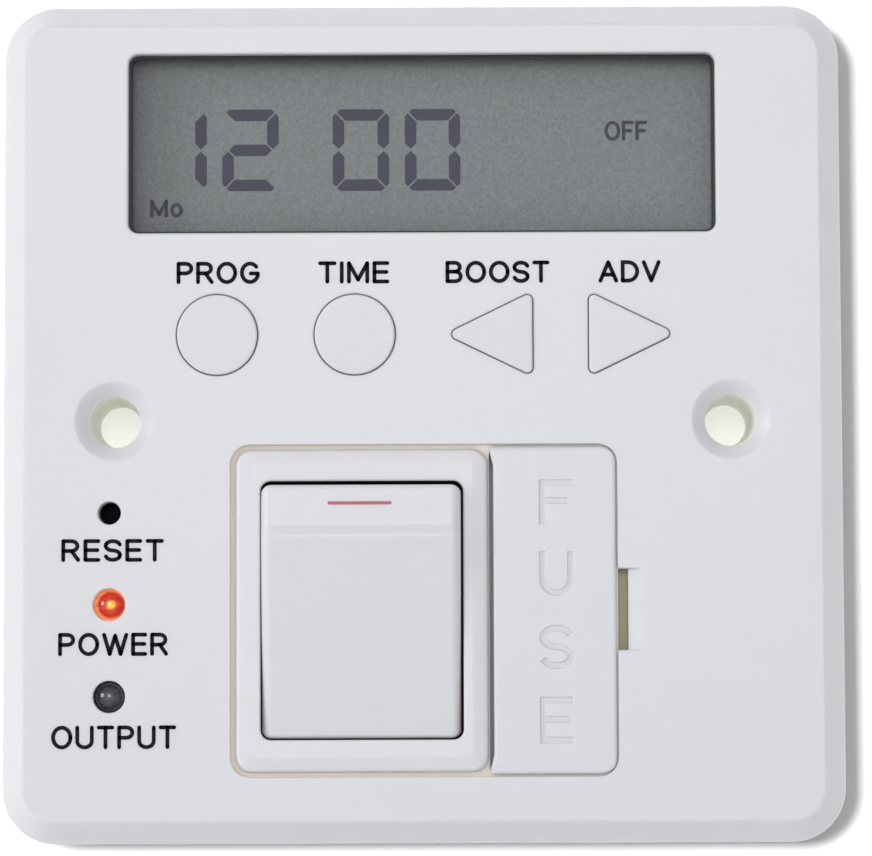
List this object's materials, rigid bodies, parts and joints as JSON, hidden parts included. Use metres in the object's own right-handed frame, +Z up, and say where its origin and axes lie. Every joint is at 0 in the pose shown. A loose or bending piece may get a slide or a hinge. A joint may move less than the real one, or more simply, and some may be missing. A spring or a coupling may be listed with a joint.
{
  "type": "programmable timer",
  "caption": "White wall-plate programmer with a display, four keys, reset, two lamps, a rocker switch and a hinged fuse carrier.",
  "frame": {"origin": "centre of the square plate, on the wall's surface (the plane of the plate's rear rim and of the rear faces of its fixing bosses)", "axes": "+X to the right across the face, +Y into the wall, +Z up; the face looks along -Y"},
  "size_m": [0.0824, 0.0381, 0.0824],
  "materials": {
    "white_plastic": "fine satin white urea moulding",
    "key_plastic": "satin white",
    "clear_window": "clear polycarbonate with a fine anti-glare front",
    "display_glass": "reflective grey-green liquid crystal cell",
    "dark_plastic": "moulded black",
    "contact_rubber": "silicone elastomer with carbon layers",
    "board_laminate": "green solder mask on glass-fibre laminate",
    "red_lamp": "transparent red epoxy, lit",
    "grey_lamp": "smoked clear epoxy, unlit",
    "steel": "nickel-plated",
    "brass": "plain brass, tinned at the fuse clips",
    "ceramic": "glazed ceramic tube",
    "capacitor_blue": "blue moulded box"
  },
  "bodies": {
    "timer_body": {"front_plate": "white_plastic", "switch_housing": "white_plastic", "fuse_housing": "white_plastic", "rear_cover": "white_plastic", "display_window": "clear_window", "lcd_cell": "display_glass", "lcd_frame": "dark_plastic", "prog_switch": "dark_plastic", "time_switch": "dark_plastic", "boost_switch": "dark_plastic", "advance_switch": "dark_plastic", "reset_switch": "dark_plastic", "board_link": "dark_plastic", "microcontroller": "dark_plastic", "relay": "dark_plastic", "smoothing_capacitor": "dark_plastic", "terminal_block": "dark_plastic", "lcd_contact_strip": "contact_rubber", "control_board": "board_laminate", "power_board": "board_laminate", "power_lamp": "red_lamp", "output_lamp": "grey_lamp", "backup_cell": "steel", "cover_screw_upper": "steel", "cover_screw_lower": "steel", "neutral_in_screw": "steel", "live_in_screw": "steel", "earth_screw": "steel", "neutral_out_screw": "steel", "live_out_screw": "steel", "fixed_contact_left": "brass", "fixed_contact_right": "brass", "fuse_clip_upper": "brass", "fuse_clip_lower": "brass", "neutral_in_terminal": "brass", "live_in_terminal": "brass", "earth_terminal": "brass", "neutral_out_terminal": "brass", "live_out_terminal": "brass", "dropper_capacitor": "capacitor_blue"},
    "prog_key": {"prog_button": "key_plastic", "prog_plunger": "dark_plastic"},
    "time_key": {"time_button": "key_plastic", "time_plunger": "dark_plastic"},
    "boost_key": {"boost_button": "key_plastic", "boost_plunger": "dark_plastic"},
    "advance_key": {"advance_button": "key_plastic", "advance_plunger": "dark_plastic"},
    "reset_key": {"reset_plunger": "dark_plastic"},
    "rocker_unit": {"rocker": "white_plastic", "rocker_spring_left": "steel", "rocker_spring_right": "steel", "rocker_plunger_left": "dark_plastic", "rocker_plunger_right": "dark_plastic"},
    "contact_unit_left": {"moving_contact_left": "brass"},
    "contact_unit_right": {"moving_contact_right": "brass"},
    "fuse_unit": {"fuse_carrier": "white_plastic", "fuse_body": "ceramic", "fuse_cap_upper": "brass", "fuse_cap_lower": "brass"}
  },
  "joints": [
    {"name": "prog_press", "type": "slide", "parent": "timer_body", "child": "prog_key", "axis": [0, 1, 0], "range_m": [0, 0.0004], "stiffness_N_per_m": 1200},
    {"name": "time_press", "type": "slide", "parent": "timer_body", "child": "time_key", "axis": [0, 1, 0], "range_m": [0, 0.0004], "stiffness_N_per_m": 1200},
    {"name": "boost_press", "type": "slide", "parent": "timer_body", "child": "boost_key", "axis": [0, 1, 0], "range_m": [0, 0.0004], "stiffness_N_per_m": 1200},
    {"name": "advance_press", "type": "slide", "parent": "timer_body", "child": "advance_key", "axis": [0, 1, 0], "range_m": [0, 0.0004], "stiffness_N_per_m": 1200},
    {"name": "reset_press", "type": "slide", "parent": "timer_body", "child": "reset_key", "axis": [0, 1, 0], "range_m": [0, 0.0003], "stiffness_N_per_m": 1500},
    {"name": "rocker_tilt", "type": "hinge", "parent": "timer_body", "child": "rocker_unit", "pos_m": [0, -0.0093, -0.0186], "axis": [-1, 0, 0], "range_deg": [0, 11]},
    {"name": "contact_tilt_left", "type": "hinge", "parent": "timer_body", "child": "contact_unit_left", "pos_m": [-0.0105, 0.0009, -0.0186], "axis": [-1, 0, 0], "range_deg": [-12.2, 0]},
    {"name": "contact_tilt_right", "type": "hinge", "parent": "timer_body", "child": "contact_unit_right", "pos_m": [-0.0015, 0.0009, -0.0186], "axis": [-1, 0, 0], "range_deg": [-12.2, 0]},
    {"name": "fuse_swing", "type": "hinge", "parent": "timer_body", "child": "fuse_unit", "pos_m": [0.0079, -0.00895, -0.01853], "axis": [0, 0, -1], "range_deg": [0, 70]}
  ],
  "couplings": [
    {"joint": "contact_tilt_left", "follows": "rocker_tilt", "ratio": -1.1},
    {"joint": "contact_tilt_right", "follows": "rocker_tilt", "ratio": -1.1}
  ]
}
